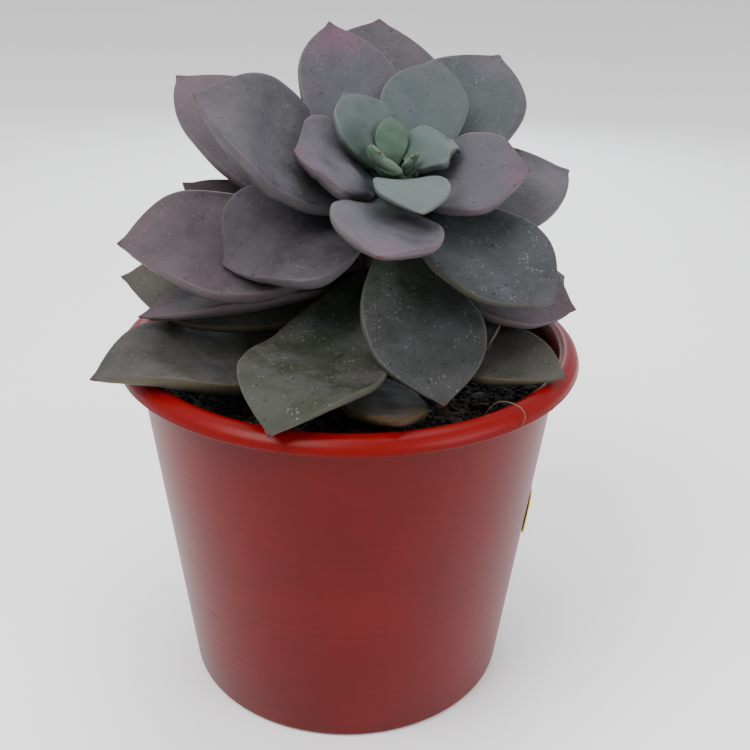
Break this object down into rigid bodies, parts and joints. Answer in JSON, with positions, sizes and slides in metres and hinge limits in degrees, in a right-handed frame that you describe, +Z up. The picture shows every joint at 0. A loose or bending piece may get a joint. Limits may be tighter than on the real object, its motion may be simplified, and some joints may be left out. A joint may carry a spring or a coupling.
{
  "type": "potted succulent",
  "caption": "Rosette succulent with fleshy pointed leaves on a short leaning stem, rooted in potting mix in a tapered round nursery pot with a rolled lip",
  "frame": {"origin": "centre of the pot's flat underside", "axes": "+Z up, -Y the front that the rosette faces, +X to the right seen from the front, towards which the stem leans"},
  "size_m": [0.1056, 0.1104, 0.1497],
  "materials": {
    "pot_plastic": "crimson moulded polypropylene, satin sheen",
    "potting_mix": "nearly black peat mix with fine grains",
    "stem_bark": "green-brown woody stem with leaf scars",
    "sticker_paper": "plain yellow round label, blank",
    "leaf_young": "waxy pale green leaf with powdery bloom",
    "leaf_middle": "waxy mauve-grey leaf with powdery bloom and pink tip",
    "leaf_outer": "waxy purple-grey to green-grey leaf with fine speckles",
    "leaf_old": "older olive-grey leaf with scars"
  },
  "bodies": {
    "root": {"leaf_01": "leaf_young", "leaf_02": "leaf_young", "leaf_03": "leaf_young", "leaf_04": "leaf_young", "leaf_05": "leaf_young", "leaf_06": "leaf_young", "leaf_07": "leaf_middle", "leaf_08": "leaf_middle", "leaf_09": "leaf_middle", "leaf_10": "leaf_middle", "leaf_11": "leaf_middle", "leaf_12": "leaf_middle", "leaf_13": "leaf_middle", "leaf_14": "leaf_middle", "leaf_15": "leaf_middle", "leaf_16": "leaf_middle", "leaf_17": "leaf_middle", "leaf_18": "leaf_middle", "leaf_19": "leaf_outer", "leaf_20": "leaf_outer", "leaf_21": "leaf_outer", "leaf_22": "leaf_outer", "leaf_23": "leaf_outer", "leaf_24": "leaf_outer", "leaf_25": "leaf_outer", "leaf_26": "leaf_outer", "leaf_27": "leaf_outer", "leaf_28": "leaf_outer", "leaf_29": "leaf_outer", "leaf_30": "leaf_outer", "leaf_32": "leaf_old", "leaf_33": "leaf_old", "leaf_35": "leaf_old", "leaf_36": "leaf_old", "leaf_37": "leaf_old", "leaf_40": "leaf_old", "leaf_43": "leaf_old", "pot": "pot_plastic", "potting_mix": "potting_mix", "stem": "stem_bark", "sticker": "sticker_paper"}
  },
  "joints": []
}
